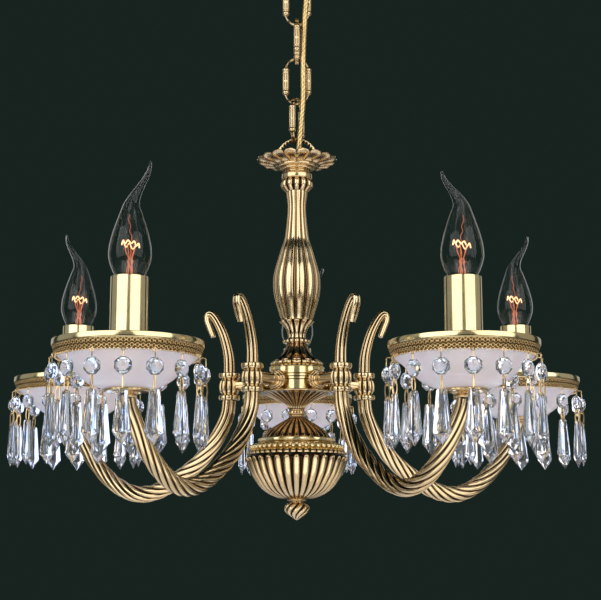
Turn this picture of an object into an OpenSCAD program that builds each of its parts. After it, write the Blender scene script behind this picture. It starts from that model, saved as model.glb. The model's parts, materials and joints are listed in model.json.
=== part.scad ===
// Five-arm brass chandelier with candle lamps, frosted glass dishes and crystal drops.
// The ceiling plane is Z = 0. Heights of the lamp are given from the top edge of the
// gallery rings, which hangs ring_drop below the ceiling. The front faces -Y.

/* [Chandelier] */
// Distance from the ceiling down to the top edge of the gallery rings
ring_drop = 430; // [420:1:520]
// Radius of the circle that the candle lamps stand on
lamp_circle_r = 222; // [215:1:240]
// Azimuth of the first arm, measured from +X
first_arm_turn = 90; // [0:1:90]

/* [Arms] */
// Radius of the circle through the middles of the arm clamps
clamp_circle_r = 65.5; // [64:0.5:68]
// Outer radius of an arm tube at its middle
arm_r = 7.7; // [7:0.1:8.2]
// Outer radius of an arm tube at its two ends
arm_end_r = 6.4; // [5.5:0.1:6.8]
// Radius of the bore along an arm tube
arm_bore_r = 4; // [3:0.5:4.5]
// Height of the clamp barrels
clamp_h = 25.5; // [22:0.5:26]

/* [Lamps] */
// Outer radius of the gallery ring at its top edge
gallery_r = 59; // [58:0.5:62]
// Height of the gallery ring
gallery_h = 14; // [12:0.5:14]
// Outer radius of a candle sleeve
sleeve_r = 15; // [14.5:0.1:16]
// Length of a candle sleeve
sleeve_h = 85; // [80:1:90]
// Greatest radius of a bulb
bulb_r = 17.5; // [16:0.5:18]
// Radius of the bulb's screw cap
cap_r = 6.95; // [6.9:0.01:7]

/* [Crystals] */
// Number of crystal drops on a gallery ring
drops_per_ring = 16; // [10:1:18]
// Radius of the circle that the drops hang on
drop_circle_r = 60; // [60:0.5:62]
// Length of the lower prism of a drop
prism_h = 40.5; // [36:0.5:44]
// Width of the lower prism at its shoulder
prism_w = 13.5; // [10:0.5:16]
// Diameter of the octagonal bead
bead_d = 14; // [10:0.5:14]

/* [Chain] */
// Outer length of a chain link
link_h = 46.5; // [45:0.5:48]
// Outer width of a chain link
link_w = 27.5; // [26:0.5:28]
// Radius of the wire at the ends of a link
link_wire_r = 1.7; // [1.5:0.1:1.8]
// Radius of the thick side bars of a link
link_bar_r = 3.25; // [3:0.05:3.4]
// Turn of the lowest link about the vertical, away from the loop's plane
lowest_link_turn = 66; // [60:1:90]

/* [Ceiling] */
// Distance between the two ceiling screws
screw_spacing = 64; // [60:1:66]
// Radius of the ceiling screw holes
screw_hole_r = 2.6; // [2:0.1:3]
// Outer radius of the ceiling rose
rose_r = 58; // [54:1:64]
// Radius of the rose's middle hole, which passes over the chain
rose_hole_r = 17; // [16:0.5:17]

/* [Hidden] */
$fn = 48;
ARMS = 5;
TUBE_SIDES = 12;
CURVE_STEPS = 4;
tube_r = 5;
tube_bore_r = 3.8;
piece_bore_r = tube_r + 0.1;
link_gap = 0.3;
arm_turn = 360 / ARMS;
drop_turn = 360 / drops_per_ring;
// Turn of each ring of crystals about its lamp, from the outward direction
ring_turn = [-9, 2.8, -4.9, 8.1, -7.1];
// Turn of each bulb about its own axis: the bent tips point to either side
tip_turn = [0, 180, 0, 180, 0];

// Levels, all measured from the top edge of the gallery rings
loop_base_z = 194.2;
loop_top_z = 220;
loop_ring_r = 17.4;
loop_wire_r = 1.9;
bowl_bottom_z = -116;
sleeve_z = -34;
dish_bottom_z = -37;
arm_start_z = -clamp_h;
arm_end_z = -44;
stub_z = -11.5;
hub_r = 25;
hub_wall = 3.5;
drop_pivot_z = -12.5;
bead_top_z = -19;
prism_top_z = -43.5;
gallery_taper = 2.8;
dish_rim_z = -10;
cap_bottom_z = 17.3;
cap_top_z = 43;
holder_bore_r = cap_r + 0.1;

// The chain: the lowest link carries the loop, and each link hangs in the next one up
link_pitch = link_h - 4 * link_wire_r - link_gap;
link_arc_r = link_w / 2 - link_bar_r;
link_arc_z = link_h / 2 - link_wire_r - link_arc_r;
lowest_link_z = loop_top_z - 2 * loop_wire_r - link_gap - 2 * link_wire_r + link_h / 2;
top_link_z = lowest_link_z + 3 * link_pitch;
hook_wire_r = 2;
hook_arc_r = 9;
hook_z = top_link_z + link_h / 2 - 2 * link_wire_r - link_gap - hook_wire_r + hook_arc_r;

// Half of each turned outline, as radius and height from the bottom up
stem_outline = [
    [14.5, 45], [17.4, 55.6], [20.2, 65], [21.8, 74], [21.9, 84], [20.3, 93], [17.6, 102.5],
    [14.8, 112], [11.6, 121.4], [10.2, 131], [8.8, 145], [8.6, 155], [10, 164], [10.2, 166.8]
];
bowl_outline = [
    [9.5, -116], [18.9, -114.3], [30.1, -108.1], [37.8, -99.2], [42.8, -90.3],
    [45.8, -81.3], [46, -77]
];
dish_outline = [
    [18, -37], [26, -34.8], [34, -30.6], [41.5, -23.8], [48.5, -17], [54.5, -13], [54.5, -10]
];
bulb_outline = [
    [7, 43], [8.6, 46], [11.5, 51], [15, 58], [17.2, 65], [17.5, 70], [16.8, 77], [14.6, 86],
    [11.4, 96], [8, 105], [5.4, 112], [4, 118]
];
// Middle line of an arm and of the scroll over its clamp, as distance from the axis and height
arm_line = [
    [clamp_circle_r, arm_start_z], [67.5, -40], [77, -60], [92, -79], [108, -92], [127, -104],
    [146, -110], [163, -108.5], [181, -99], [197, -84], [209, -68], [219, -52],
    [lamp_circle_r, arm_end_z]
];
scroll_line = [
    [clamp_circle_r, 0], [66, 12.4], [68.2, 24], [72.6, 37.6], [78.4, 49], [83.8, 55.4],
    [87.4, 55.2], [88.2, 50.6], [85.4, 42.8], [82, 34.4]
];
wire_line = [
    [12, stub_z], [30, stub_z], [56, stub_z], [64.5, -14.5], [clamp_circle_r, arm_start_z]
];
// Middle line of the mains cable, from the hub up through the stem and beside the chain
cable_route = [
    [0, 0, -5], [0, 0, 60], [0, 0, 120], [0, 0, 185], [0.2, -1, 196], [1.6, -4.4, 205],
    [2.6, -6.7, 214], [3.2, -6.9, 223], [4.5, -6.8, 237], [6, -6.6, 260], [6, -6.5, 300],
    [7.5, -6.5, 335], [9, -6.5, 357], [9.5, -6.5, 378], [13, -5, 395], [18, -2, 406],
    [20, 0, 413]
];
cable_r = 2.5;
wire_r = 1.5;

// A point of a smooth curve through b and c, at t between 0 and 1
function on_curve(a, b, c, d, t) = 0.5 * (2 * b + (c - a) * t
    + (2 * a - 5 * b + 4 * c - d) * t * t + (3 * b - a - 3 * c + d) * t * t * t);

// A smooth curve through all points, with steps pieces between two of them
function smooth(p, steps = CURVE_STEPS) = concat(
    [for (i = [0:len(p) - 2], j = [0:steps - 1])
        on_curve(p[max(i - 1, 0)], p[i], p[i + 1], p[min(i + 2, len(p) - 1)], j / steps)],
    [p[len(p) - 1]]
);

// Direction of a line of points at point i
function heading(p, i) = let (d = p[min(i + 1, len(p) - 1)] - p[max(i - 1, 0)]) d / norm(d);

// The same, but exactly vertical at an end that is nearly so, to give the rod a level end
function end_heading(p, i) = let (h = heading(p, i))
    (i == 0 || i == len(p) - 1) && abs(h[2]) > 0.8 ? [0, 0, sign(h[2])] : h;

// The line moved to its left by a distance t
function inset(p, t) = [for (i = [0:len(p) - 1])
    let (h = heading(p, i)) p[i] + t * [-h[1], h[0]]];

function backwards(p) = [for (i = [len(p) - 1:-1:0]) p[i]];

// A flat line in distance and height, turned into points in the XZ plane
function upright(p) = [for (q = p) [q[0], 0, q[1]]];

// The ring of points around point i of a line, across the line's direction
function ring_at(p, i, r, sides) = let (
    h = end_heading(p, i),
    side = cross(abs(h[1]) > 0.9 ? [1, 0, 0] : [0, 1, 0], h),
    u = side / norm(side),
    v = cross(h, u)
) [for (k = [0:sides - 1]) p[i] + r * (cos(360 * k / sides) * u + sin(360 * k / sides) * v)];

// Side faces between the rings that start at point a, turned outwards
function skin(rings, sides, a) = [for (i = [0:rings - 2], k = [0:sides - 1])
    let (n = (k + 1) % sides, s = a + i * sides) [s + k, s + sides + k, s + sides + n, s + n]];

function flipped(faces) = [for (f = faces) [f[3], f[2], f[1], f[0]]];

// A round rod along a line, with one radius per point
module rod(p, radii, sides) {
    n = len(p);
    polyhedron(
        [for (i = [0:n - 1]) each ring_at(p, i, radii[i], sides)],
        concat([[for (k = [0:sides - 1]) k]], skin(n, sides, 0),
            [[for (k = [sides - 1:-1:0]) (n - 1) * sides + k]])
    );
}

// A round pipe along a line, with one outer radius per point and one bore
module pipe(p, radii, bore, sides) {
    n = len(p);
    inner = n * sides;
    last = (n - 1) * sides;
    polyhedron(
        concat([for (i = [0:n - 1]) each ring_at(p, i, radii[i], sides)],
            [for (i = [0:n - 1]) each ring_at(p, i, bore, sides)]),
        concat(skin(n, sides, 0), flipped(skin(n, sides, inner)),
            [for (k = [0:sides - 1]) let (m = (k + 1) % sides)
                [k, m, inner + m, inner + k]],
            [for (k = [0:sides - 1]) let (m = (k + 1) % sides)
                [last + m, last + k, inner + last + k, inner + last + m]])
    );
}

// Moves a piece from the lamp's own levels to its place under the ceiling
module hung() {
    translate([0, 0, -ring_drop]) children();
}

// Turns a piece drawn along +X to arm number i
module at_arm(i) {
    rotate([0, 0, first_arm_turn + arm_turn * (i - 1)]) children();
}

// Places a piece drawn about its own axis on lamp number i
module at_lamp(i) {
    hung() at_arm(i) translate([lamp_circle_r, 0, 0]) children();
}

// A turned piece with the middle bore for the centre tube
module turned(outline) {
    low = outline[0][1];
    high = outline[len(outline) - 1][1];
    rotate_extrude() polygon(concat([[piece_bore_r, low]], outline, [[piece_bore_r, high]]));
}

// A spun shell of even thickness, with a flat bottom round the middle bore
module spun(outline, thickness, bore) {
    inside = backwards(inset(outline, thickness));
    rotate_extrude() polygon(concat([[bore, outline[0][1]]], outline, inside,
        [[bore, outline[0][1] + thickness]]));
}

module ceiling_bracket() {
    bar = [91, 16, 2.5];
    tab_h = 14;
    color("silver") difference() {
        union() {
            translate([-bar[0] / 2, -bar[1] / 2, -bar[2]]) cube(bar);
            for (side = [-1, 1])
                translate([side * (bar[0] / 2 - bar[2] / 2) - bar[2] / 2, -bar[1] / 2, -tab_h])
                    cube([bar[2], bar[1], tab_h]);
        }
        for (side = [-1, 1])
            translate([side * screw_spacing / 2, 0, -5]) cylinder(r = screw_hole_r, h = 10);
        translate([0, 0, -5]) cylinder(r = 3.1, h = 10);
    }
}

module ceiling_hook() {
    arc_z = hook_z - ring_drop;
    color("silver") {
        translate([0, 0, arc_z + hook_arc_r]) cylinder(r = 3, h = -arc_z - hook_arc_r);
        translate([0, 0, -6.5]) cylinder(r = 5.5, h = 4, $fn = 6);
        translate([0, 0, arc_z]) rotate([0, 90, 0]) rotate([0, 0, -70])
            rotate_extrude(angle = 250) translate([hook_arc_r, 0]) circle(r = hook_wire_r);
        translate([0, 0, arc_z + hook_arc_r]) sphere(r = 3);
    }
}

module terminal_block() {
    color("white") difference() {
        translate([14, -6, -17]) cube([13, 12, 14.5]);
        translate([20, 0, -18]) cylinder(r = cable_r, h = 1 + 2);
    }
}

module ceiling_rose() {
    outside = smooth([
        [19, -52], [18.5, -47], [21, -41], [32, -36], [45, -28], [54, -16], [rose_r, -4],
        [rose_r, -0.3]
    ], 3);
    inside = backwards(inset(outside, 1.2));
    color("goldenrod") difference() {
        rotate_extrude() polygon(concat([[rose_hole_r, -52]], outside, inside,
            [[rose_hole_r, -50.8]]));
        for (side = [0, 180])
            rotate([0, 0, side]) translate([45, 0, -9]) rotate([0, 90, 0]) cylinder(r = 1.6, h = 20);
    }
}

module rose_screws() {
    color("goldenrod") for (side = [0, 180])
        rotate([0, 0, side]) translate([0, 0, -9]) rotate([0, 90, 0]) {
            translate([0, 0, 45.8]) cylinder(r = 1.55, h = 15);
            translate([0, 0, rose_r + 0.3]) cylinder(r = 4, h = 4);
        }
}

// A link with wire ends and thick side bars, in the XZ plane
module chain_link(level, turn) {
    hung() translate([0, 0, level]) rotate([0, 0, turn]) color("darkgoldenrod") {
        for (end = [0, 1])
            mirror([0, 0, end]) translate([0, 0, link_arc_z]) rotate([90, 0, 0])
                rotate_extrude(angle = 180) translate([link_arc_r, 0]) circle(r = link_wire_r);
        for (side = [-1, 1]) {
            translate([side * link_arc_r, 0, -link_arc_z])
                cylinder(r = link_bar_r - 0.35, h = 2 * link_arc_z);
            for (z = [-link_arc_z, 0, link_arc_z])
                translate([side * link_arc_r, 0, z]) sphere(r = link_bar_r);
        }
    }
}

module hanging_loop() {
    arc_z = loop_top_z - loop_wire_r - loop_ring_r;
    color("darkgoldenrod") hung() {
        translate([0, 0, arc_z]) rotate([90, 0, 0])
            rotate_extrude(angle = 180) translate([loop_ring_r, 0]) circle(r = loop_wire_r);
        for (side = [-1, 1])
            translate([side * loop_ring_r, 0, loop_base_z])
                cylinder(r = loop_wire_r, h = arc_z - loop_base_z);
        difference() {
            translate([0, 0, loop_base_z]) cylinder(r = loop_ring_r + loop_wire_r + 1, h = 2.3);
            translate([0, 0, loop_base_z - 1]) cylinder(r = tube_bore_r + 0.1, h = 5);
        }
    }
}

module top_cup() {
    petals = 18;
    hung() color("goldenrod") difference() {
        rotate_extrude() polygon([
            [piece_bore_r, 193], [20, 193], [30, 194.6], [37.5, 196.4], [37, 197.4],
            [29, 196], [20, 194.2], [piece_bore_r, 194.2]
        ]);
        for (i = [0:petals - 1])
            rotate([0, 0, 360 * i / petals]) translate([38.6, 0, 190])
                cylinder(r = 2, h = 10);
    }
}

module neck_collar() {
    hung() color("goldenrod") turned([
        [12, 178.4], [14, 179], [14, 184], [11.2, 186.6], [15.9, 188], [19.2, 189.5],
        [19.2, 193]
    ]);
}

module neck_tulip() {
    hung() color("darkgoldenrod") turned(smooth([
        [10.5, 166.8], [12.4, 168.4], [14.8, 172], [14.3, 176], [12, 178.4]
    ], 2));
}

module stem() {
    hung() color("darkgoldenrod") turned(smooth(stem_outline, 2));
}

module stem_foot() {
    hung() color("darkgoldenrod") turned([
        [12.8, 24.3], [12.8, 27.5], [9, 28], [8.2, 30.5], [9.6, 36], [13, 41], [16, 44],
        [16, 45]
    ]);
}

module hub_cap() {
    hung() color("darkgoldenrod") turned(smooth([
        [21.6, 7.4], [20.4, 9.4], [15.6, 12.4], [13.2, 15.4], [10.9, 19.2], [9.2, 22.4],
        [8.8, 24.3]
    ], 2));
}

module hub_bead_ring() {
    hung() color("goldenrod") difference() {
        translate([0, 0, 2.2]) cylinder(r = 23.7, h = 5.2);
        translate([0, 0, 1]) cylinder(r = 18, h = 7);
    }
}

module hub() {
    hung() color("gold") difference() {
        union() {
            translate([0, 0, -20]) cylinder(r = hub_r, h = 21.5);
            translate([0, 0, 1.2]) cylinder(r = hub_r + 0.5, h = 1);
        }
        translate([0, 0, -21]) cylinder(r = hub_r - hub_wall, h = 20.2);
        translate([0, 0, -21]) cylinder(r = piece_bore_r, h = 30);
        for (i = [1:ARMS])
            at_arm(i) translate([15, 0, stub_z]) rotate([0, 90, 0]) cylinder(r = 4, h = 20);
    }
}

module hub_bell() {
    hung() color("darkgoldenrod") turned([
        [7.7, -35.5], [9.5, -32], [19, -27.2], [27, -22.8], [33.7, -21.2], [33.7, -20]
    ]);
}

module waist_ring() {
    hung() color("goldenrod") turned([
        [6.5, -43], [8, -40.5], [8, -38], [6.5, -35.5]
    ]);
}

module bowl_lid() {
    hung() color("darkgoldenrod") rotate_extrude() polygon([
        [piece_bore_r, -43], [7.5, -43], [10, -45], [18.5, -50], [24.8, -54.4], [29.3, -58.9],
        [31, -61.4], [35, -62], [35, -66], [32, -66], [30, -63], [23.5, -56], [17.5, -51.6],
        [9, -46.5], [piece_bore_r, -46]
    ]);
}

module pearl_ring() {
    hung() color("goldenrod") rotate_extrude() polygon([
        [33, -66], [36, -66], [41, -68], [43.6, -70.5], [43.2, -73.5], [44.7, -75.5],
        [44.7, -77], [42.5, -77], [41, -72.5], [39, -69.5], [33, -67.5]
    ]);
}

module bowl() {
    hung() color("darkgoldenrod") spun(smooth(bowl_outline, 2), 1.6, piece_bore_r);
}

module finial() {
    hung() color("darkgoldenrod") difference() {
        rotate_extrude() polygon([
            [0, -134.6], [2.2, -133.4], [5.5, -131.2], [9.8, -128.4], [11.6, -124.6],
            [10, -121], [6.3, -118.8], [8, -117.4], [8.8, bowl_bottom_z], [0, bowl_bottom_z]
        ]);
        translate([0, 0, -122]) cylinder(r = piece_bore_r, h = 8);
    }
}

module centre_tube() {
    low = -121.5;
    hung() color("silver") difference() {
        translate([0, 0, low]) cylinder(r = tube_r, h = loop_base_z - low);
        translate([0, 0, low - 1]) cylinder(r = tube_bore_r, h = loop_base_z - low + 2);
        for (i = [1:ARMS])
            at_arm(i) translate([0, 0, stub_z]) rotate([0, 90, 0]) cylinder(r = 2, h = 8);
    }
}

module power_cable() {
    line = smooth(cable_route);
    hung() color("gold") rod(line, [for (q = line) cable_r], 8);
}

module arm_wires() {
    line = upright(concat(smooth(wire_line, 3),
        [for (q = smooth(arm_line, 2)) if (q[1] < arm_start_z - 4 || q[0] > 100) q],
        [[lamp_circle_r, -30], [lamp_circle_r, -22.5]]));
    for (i = [1:ARMS])
        hung() at_arm(i) color("white") rod(line, [for (q = line) wire_r], 6);
}

// The S-shaped tube of arm number i, thicker towards its middle
module arm_tube(i) {
    line = upright(smooth(arm_line, 2));
    steps = len(line) - 1;
    radii = [for (k = [0:steps]) arm_end_r + (arm_r - arm_end_r) * sin(180 * k / steps)];
    hung() at_arm(i) color("darkgoldenrod") pipe(line, radii, arm_bore_r, TUBE_SIDES);
}

// A barrel that joins an arm and its scroll, with the stub that screws into the hub
module arm_clamps() {
    barrel_r = 9;
    ring_r = 9.8;
    stub_r = 5.5;
    for (i = [1:ARMS])
        hung() at_arm(i) color("goldenrod") difference() {
            union() {
                translate([clamp_circle_r, 0, -clamp_h]) cylinder(r = barrel_r, h = clamp_h);
                for (z = [-clamp_h, -5])
                    translate([clamp_circle_r, 0, z]) cylinder(r = ring_r, h = 5);
                translate([hub_r, 0, stub_z]) rotate([0, 90, 0]) {
                    cylinder(r = stub_r, h = clamp_circle_r - hub_r);
                    translate([0, 0, 5]) cylinder(r = 8, h = 2);
                    translate([0, 0, 7]) cylinder(r = 6.8, h = 2);
                }
                translate([hub_r - hub_wall, 0, stub_z]) rotate([0, 90, 0])
                    cylinder(r = 3.9, h = 6);
            }
            translate([clamp_circle_r, 0, -clamp_h - 1]) cylinder(r = 4, h = clamp_h - 3);
            translate([hub_r - 6, 0, stub_z]) rotate([0, 90, 0])
                cylinder(r = 3, h = clamp_circle_r - hub_r + 6);
        }
}

module arm_scrolls() {
    line = upright(smooth(scroll_line, 2));
    steps = len(line) - 1;
    for (i = [1:ARMS])
        hung() at_arm(i) color("darkgoldenrod")
            rod(line, [for (k = [0:steps]) 5 - 2.4 * k / steps], TUBE_SIDES);
}

// The plate under a glass dish and the cone that takes the arm's end
module dish_collars() {
    for (i = [1:ARMS])
        at_lamp(i) color("goldenrod") rotate_extrude() polygon([
            [piece_bore_r, arm_end_z], [7.4, arm_end_z], [8.5, -41.5], [12, -39.4],
            [18.3, -39.4], [18.3, dish_bottom_z], [piece_bore_r, dish_bottom_z]
        ]);
}

module glass_dishes() {
    for (i = [1:ARMS])
        at_lamp(i) color("lavender") spun(dish_outline, 3, piece_bore_r);
}

// A ring that rests on the glass, with a ledge inside
module gallery_rings() {
    wall = 1.3;
    low_r = gallery_r - gallery_taper;
    for (i = [1:ARMS])
        at_lamp(i) color("gold") rotate_extrude() polygon([
            [low_r - wall, -gallery_h], [low_r, -gallery_h], [gallery_r, -4], [gallery_r, 0],
            [gallery_r - wall, 0], [gallery_r - wall, -4], [low_r - wall + 1, dish_rim_z + 1],
            [52, dish_rim_z + 1], [52, dish_rim_z], [low_r - wall, dish_rim_z]
        ]);
}

module candle_sleeves() {
    wall = 1.2;
    for (i = [1:ARMS])
        at_lamp(i) color("gold") difference() {
            translate([0, 0, sleeve_z]) cylinder(r = sleeve_r, h = sleeve_h);
            translate([0, 0, sleeve_z - 1]) cylinder(r = sleeve_r - wall, h = sleeve_h + 2);
        }
}

// A lampholder on the threaded tube that clamps collar and dish together
module lampholders() {
    body_r = 12.5;
    for (i = [1:ARMS])
        at_lamp(i) color("white") difference() {
            union() {
                translate([0, 0, arm_end_z]) cylinder(r = tube_r, h = 26);
                translate([0, 0, sleeve_z]) cylinder(r = 9, h = 4);
                translate([0, 0, -20]) cylinder(r = body_r, h = 60);
            }
            translate([0, 0, arm_end_z - 1]) cylinder(r = tube_bore_r, h = 23);
            translate([0, 0, cap_bottom_z - 0.3]) cylinder(r = holder_bore_r, h = 40);
        }
}

module bulb_cap(i) {
    at_lamp(i) color("silver") {
        translate([0, 0, cap_bottom_z + 4]) cylinder(r = cap_r, h = cap_top_z - cap_bottom_z - 4);
        translate([0, 0, cap_bottom_z]) cylinder(r1 = 3, r2 = 5.4, h = 4);
    }
}

// A blown bulb with its tip drawn out and bent to one side
module bulb_glass(i) {
    neck_z = 118;
    neck_r = 4;
    low_tail = 12;
    high_tail = 13;
    bend = 17;
    middle_r = 2.6;
    tip_r = 1.2;
    outline = smooth(bulb_outline, 2);
    at_lamp(i) rotate([0, 0, tip_turn[i - 1] - first_arm_turn - arm_turn * (i - 1)])
        color("ghostwhite") {
            rotate_extrude() polygon(concat([[0, cap_top_z]], outline, [[0, neck_z]]));
            translate([0, 0, neck_z]) rotate([0, bend, 0]) {
                sphere(r = neck_r + 0.3);
                cylinder(r1 = neck_r, r2 = middle_r, h = low_tail);
                translate([0, 0, low_tail]) {
                    sphere(r = middle_r + 0.2);
                    rotate([0, bend, 0]) cylinder(r1 = middle_r, r2 = tip_r, h = high_tail);
                }
            }
        }
}

// A flat octagonal bead over a pointed prism, hung at drop number j of a ring
module crystal(i, j) {
    bead_r = bead_d / 2;
    top_half_w = 4;
    shoulder_z = prism_top_z - 0.78 * prism_h;
    at_lamp(i) rotate([0, 0, ring_turn[i - 1] + drop_turn * j])
        translate([drop_circle_r, 0, 0]) color("aliceblue") {
            translate([-2.5, 0, bead_top_z - bead_r]) rotate([0, 90, 0]) rotate([0, 0, 22.5])
                cylinder(r = bead_r / cos(22.5), h = 5, $fn = 8);
            translate([-3.5, 0, 0]) rotate([90, 0, 90]) linear_extrude(7) polygon([
                [-top_half_w, prism_top_z], [top_half_w, prism_top_z], [prism_w / 2, shoulder_z],
                [0, prism_top_z - prism_h], [-prism_w / 2, shoulder_z]
            ]);
        }
}

// The wires of one drop: a peg on the ring, a hook down to the bead and a link to the prism
module drop_wire(i, j, peg, hook) {
    at_lamp(i) rotate([0, 0, ring_turn[i - 1] + drop_turn * j]) color("goldenrod") {
        if (peg)
            translate([gallery_r - 2.2, 0, drop_pivot_z]) rotate([0, 90, 0])
                cylinder(r = 0.6, h = drop_circle_r + 2.4 - gallery_r, $fn = 16);
        if (hook) {
            translate([drop_circle_r, 0, bead_top_z])
                cylinder(r = 0.6, h = drop_pivot_z - bead_top_z - (peg ? 0.6 : 1.1), $fn = 16);
            translate([drop_circle_r, 0, prism_top_z])
                cylinder(r = 0.6, h = bead_top_z - bead_d - prism_top_z, $fn = 16);
        }
    }
}

module pendant_wires() {
    for (i = [1:ARMS]) {
        drop_wire(i, 0, true, false);
        for (j = [1:drops_per_ring - 1]) drop_wire(i, j, true, true);
    }
}

// All drops of one ring but the outermost
module pendants(i) {
    for (j = [1:drops_per_ring - 1]) crystal(i, j);
}

// The outermost drop of a ring, which swings on its peg
module drop(i) {
    crystal(i, 0);
    drop_wire(i, 0, false, true);
}

ceiling_bracket();
ceiling_hook();
terminal_block();
ceiling_rose();
rose_screws();
chain_link(top_link_z, 0);  // chain_link_1
chain_link(top_link_z - link_pitch, 90);  // chain_link_2
chain_link(top_link_z - 2 * link_pitch, 0);  // chain_link_3
chain_link(lowest_link_z, lowest_link_turn);  // chain_link_4
hanging_loop();
top_cup();
neck_collar();
neck_tulip();
stem();
stem_foot();
hub_cap();
hub_bead_ring();
hub();
hub_bell();
waist_ring();
bowl_lid();
pearl_ring();
bowl();
finial();
centre_tube();
power_cable();
arm_wires();
arm_clamps();
arm_scrolls();
dish_collars();
glass_dishes();
gallery_rings();
candle_sleeves();
lampholders();
pendant_wires();
for (i = [1:ARMS]) {
    arm_tube(i);
    bulb_cap(i);
    bulb_glass(i);
    pendants(i);
    drop(i);
}
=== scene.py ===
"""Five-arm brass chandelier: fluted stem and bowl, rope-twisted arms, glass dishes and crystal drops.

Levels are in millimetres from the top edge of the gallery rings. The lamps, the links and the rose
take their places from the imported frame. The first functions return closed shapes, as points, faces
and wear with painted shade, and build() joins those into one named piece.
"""

import json
import math

import bmesh
import bpy
import numpy as np
from mathutils import Matrix, Vector

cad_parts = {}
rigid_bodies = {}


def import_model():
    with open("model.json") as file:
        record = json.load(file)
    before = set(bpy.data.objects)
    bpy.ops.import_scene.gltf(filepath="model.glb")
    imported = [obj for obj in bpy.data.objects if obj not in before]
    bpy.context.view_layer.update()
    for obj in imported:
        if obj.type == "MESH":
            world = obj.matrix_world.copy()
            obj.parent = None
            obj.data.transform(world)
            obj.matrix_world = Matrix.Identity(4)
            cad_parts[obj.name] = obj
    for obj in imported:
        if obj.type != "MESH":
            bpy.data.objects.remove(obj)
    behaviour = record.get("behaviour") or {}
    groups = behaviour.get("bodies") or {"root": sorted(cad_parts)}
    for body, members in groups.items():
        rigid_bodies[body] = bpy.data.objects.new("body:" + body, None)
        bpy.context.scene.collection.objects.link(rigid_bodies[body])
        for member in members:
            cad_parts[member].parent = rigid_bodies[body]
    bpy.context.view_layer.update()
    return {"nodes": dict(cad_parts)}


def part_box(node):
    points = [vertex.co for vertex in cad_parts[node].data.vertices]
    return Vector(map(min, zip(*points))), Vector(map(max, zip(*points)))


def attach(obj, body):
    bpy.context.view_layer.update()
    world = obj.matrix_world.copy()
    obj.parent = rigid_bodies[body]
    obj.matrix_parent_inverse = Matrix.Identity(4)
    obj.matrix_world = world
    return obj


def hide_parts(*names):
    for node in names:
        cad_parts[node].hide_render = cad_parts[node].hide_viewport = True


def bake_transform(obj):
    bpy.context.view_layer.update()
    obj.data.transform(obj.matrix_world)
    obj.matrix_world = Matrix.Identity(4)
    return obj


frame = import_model()

MM = 0.001
TURN = 2 * math.pi
ARMS = 5
DROPS = 16
GADROONS = 32
ROD_BORE = 5.15
PLAIN_WEAR_AND_SHADE = 0.72  # wear and painted shade of a surface without grooves, from 0 (recess in painted shade) to 1 (burnished crest)
FIRST_ARM = math.radians(90)
RING_TURN = [math.radians(a) for a in (-9, 2.8, -4.9, 8.1, -7.1)]
TIP_SIDE = (1, -1, 1, -1, 1)
TIP_RISE = (0, 1.5, 5, -3, 0)
TIP_REACH = (28, 14.5, 14.5, 14.5, 14.5)
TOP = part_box("gallery_rings")[1][2] / MM


def middle(node):
    """The centre of a CAD node's box, in millimetres, with its height from the rings' top edge."""
    low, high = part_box(node)
    x, y, z = [(a + b) / 2 / MM for a, b in zip(low, high)]
    return x, y, z - TOP


LAMPS = [middle(f"bulb_cap_{i + 1}") for i in range(ARMS)]
LAMP_R = math.hypot(LAMPS[0][0], LAMPS[0][1])
LINKS = [middle(f"chain_link_{i + 1}") for i in range(4)]


# ---------------------------------------------------------------- curves and closed shapes

def rows_of(points):
    """Points as an array. A point without a groove depth gets 0."""
    wide = max(len(p) for p in points)
    return np.array([tuple(p) + (0,) * (wide - len(p)) for p in points], float)


def smooth(points, steps):
    """A Catmull-Rom curve through the points."""
    p = rows_of(points)
    out = []
    for i in range(len(p) - 1):
        a, b, c, d = p[max(i - 1, 0)], p[i], p[i + 1], p[min(i + 2, len(p) - 1)]
        for t in np.arange(steps) / steps:
            out.append(0.5 * (2 * b + (c - a) * t + (2 * a - 5 * b + 4 * c - d) * t * t
                              + (3 * b - a - 3 * c + d) * t ** 3))
    return np.array(out + [p[-1]])


def away(angle, count):
    """How far each angle is from the nearest of count crests: 0 on a crest, 1 midway between two."""
    return 2 * np.abs(np.mod(count * angle / TURN + 0.5, 1) - 0.5)


def ribs(angle, count, share, full=0.6):
    """1 on the crests of count ribs, which fill a share of the turn, and 0 in the grooves."""
    return np.cos(np.clip(away(angle, count) / share, 0, 1) * math.pi / 2) ** full


def quads(rows, columns, close_rows, close_columns):
    """The faces between neighbours in a grid of points."""
    i = np.arange(rows if close_rows else rows - 1)[:, None]
    j = np.arange(columns if close_columns else columns - 1)[None, :]
    n, m = (i + 1) % rows, (j + 1) % columns
    corners = (i * columns + j, n * columns + j, n * columns + m, i * columns + m)
    return np.stack([np.broadcast_to(c, np.broadcast(i, j).shape) for c in corners], -1).reshape(-1, 4)


def shape(grid, height, close_rows, close_columns, capped=False):
    """A grid of points as one shape: points, faces and the wear and painted shade of each point."""
    rows, columns = grid.shape[:2]
    faces = quads(rows, columns, close_rows, close_columns).tolist()
    if capped:
        faces.append([j for j in range(columns)][::-1])
        faces.append([(rows - 1) * columns + j for j in range(columns)])
    wear_and_shade = np.broadcast_to(height, (rows, columns)).reshape(-1)
    return grid.reshape(-1, 3), faces, wear_and_shade


def grooved(points):
    """Radius, height and groove depth of each point. A point without a groove depth gets 0."""
    return np.array([tuple(p) + (0,) * (3 - len(p)) for p in points], float)


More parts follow.
